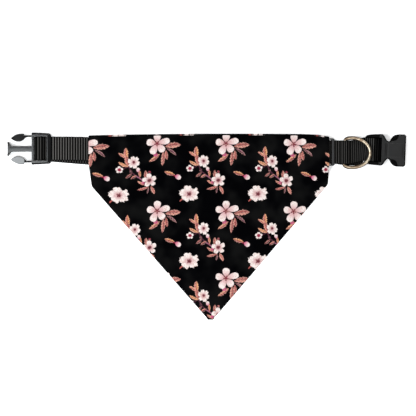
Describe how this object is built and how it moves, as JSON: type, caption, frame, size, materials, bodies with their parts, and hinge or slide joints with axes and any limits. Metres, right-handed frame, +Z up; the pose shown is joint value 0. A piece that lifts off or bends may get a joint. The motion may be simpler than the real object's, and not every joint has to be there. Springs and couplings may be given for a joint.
{
  "type": "dog bandana collar",
  "caption": "Triangular cloth bandana whose sleeve is slipped over an adjustable webbing dog collar with a side-release buckle, a slider and a D-ring, unbuckled and laid flat.",
  "frame": {"origin": "centre of the bounding box's footprint, on the surface that the collar lies on", "axes": "+X along the collar from the male buckle half to the female one, +Y up the bandana from its tip to the sleeve, +Z up from the surface"},
  "size_m": [0.4149, 0.1949, 0.0108],
  "materials": {
    "cloth": "black printed cotton with a floral repeat",
    "webbing": "black ribbed nylon webbing",
    "plastic": "black moulded acetal, semi-matte",
    "nickel": "nickel-plated wire, polished"
  },
  "bodies": {
    "collar": {"bandana": "cloth", "collar_webbing": "webbing", "tri_glide": "plastic", "male_buckle": "plastic", "female_buckle": "plastic"},
    "leash_ring": {"d_ring": "nickel"}
  },
  "joints": [
    {"name": "ring_hinge", "type": "hinge", "parent": "collar", "child": "leash_ring", "pos_m": [0.1437, 0.0767, 0.0036], "axis": [-0.0436, -0.999, 0], "range_deg": [0, 140]}
  ]
}
